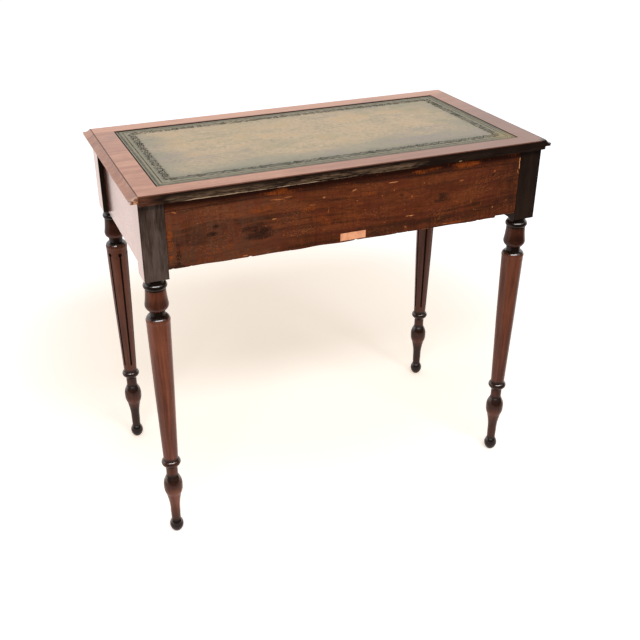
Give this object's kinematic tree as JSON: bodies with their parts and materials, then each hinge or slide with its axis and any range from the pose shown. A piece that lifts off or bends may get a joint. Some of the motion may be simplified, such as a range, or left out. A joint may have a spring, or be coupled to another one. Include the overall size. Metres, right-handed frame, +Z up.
{
  "type": "writing table",
  "caption": "Rectangular writing table: leather-lined top with an edge moulding, drawers in the frieze and turned, tapering legs, the front ones fluted.",
  "frame": {"origin": "on the floor under the middle of the whole table, knobs included", "axes": "+Z up; the drawers face -Y; +X is to the right of a person who sits at the drawers"},
  "size_m": [0.836, 0.451, 0.75],
  "materials": {
    "leather": "aged olive writing leather with a tooled border, worn matt in the middle",
    "mahogany_banding": "polished mahogany crossbanding",
    "mahogany_moulding": "polished mahogany, darker in the hollows",
    "mahogany_leg": "turned mahogany, dark shellac polish",
    "mahogany_frame": "polished mahogany",
    "mahogany_drawer": "figured mahogany, polished",
    "mahogany_bead": "polished mahogany bead",
    "mahogany_knob": "turned mahogany, polished by use",
    "stained_pine": "softwood stained dark red-brown, scratched and uneven",
    "pine": "bare softwood, aged",
    "pine_bottom": "thin bare softwood board, aged",
    "oak_drawer_lining": "planed oak, unpolished",
    "paper": "old orange-brown paper, bare",
    "brass": "dull old brass",
    "steel": "dull iron screws and bolts"
  },
  "bodies": {
    "table": {"back_board": "stained_pine", "banding_back": "mahogany_banding", "banding_front": "mahogany_banding", "banding_left": "mahogany_banding", "banding_right": "mahogany_banding", "drawer_divider": "mahogany_frame", "drawer_stops": "pine", "front_bottom_rail": "mahogany_frame", "front_top_rail": "mahogany_frame", "glue_blocks": "pine", "guide_centre": "pine", "guide_left": "pine", "guide_right": "pine", "kicker_centre": "pine", "kicker_left": "pine", "kicker_right": "pine", "leather_insert": "leather", "leg_back_left": "mahogany_leg", "leg_back_right": "mahogany_leg", "leg_front_left": "mahogany_leg", "leg_front_right": "mahogany_leg", "moulding_front": "mahogany_moulding", "moulding_left": "mahogany_moulding", "moulding_right": "mahogany_moulding", "paper_label": "paper", "runner_bearer": "pine", "runner_centre": "pine", "runner_left": "pine", "runner_right": "pine", "side_rail_left": "mahogany_frame", "side_rail_right": "mahogany_frame", "top_board": "pine", "top_screws": "steel"},
    "drawer_left": {"drawer_left_back": "oak_drawer_lining", "drawer_left_bottom": "pine_bottom", "drawer_left_cock_bead": "mahogany_bead", "drawer_left_escutcheon": "brass", "drawer_left_front": "mahogany_drawer", "drawer_left_knob_left": "mahogany_knob", "drawer_left_knob_right": "mahogany_knob", "drawer_left_lock_case": "brass", "drawer_left_lock_plate": "brass", "drawer_left_screws": "steel", "drawer_left_side_left": "oak_drawer_lining", "drawer_left_side_right": "oak_drawer_lining"},
    "bolt_left": {"drawer_left_lock_bolt": "steel"},
    "drawer_right": {"drawer_right_back": "oak_drawer_lining", "drawer_right_bottom": "pine_bottom", "drawer_right_cock_bead": "mahogany_bead", "drawer_right_escutcheon": "brass", "drawer_right_front": "mahogany_drawer", "drawer_right_knob_left": "mahogany_knob", "drawer_right_knob_right": "mahogany_knob", "drawer_right_lock_case": "brass", "drawer_right_lock_plate": "brass", "drawer_right_screws": "steel", "drawer_right_side_left": "oak_drawer_lining", "drawer_right_side_right": "oak_drawer_lining"},
    "bolt_right": {"drawer_right_lock_bolt": "steel"}
  },
  "joints": [
    {"name": "drawer_left_slide", "type": "slide", "parent": "table", "child": "drawer_left", "axis": [0, -1, 0], "range_m": [0, 0.3]},
    {"name": "drawer_right_slide", "type": "slide", "parent": "table", "child": "drawer_right", "axis": [0, -1, 0], "range_m": [0, 0.3]},
    {"name": "lock_bolt_left_slide", "type": "slide", "parent": "drawer_left", "child": "bolt_left", "axis": [0, 0, 1], "range_m": [0, 0.008]},
    {"name": "lock_bolt_right_slide", "type": "slide", "parent": "drawer_right", "child": "bolt_right", "axis": [0, 0, 1], "range_m": [0, 0.008]}
  ]
}
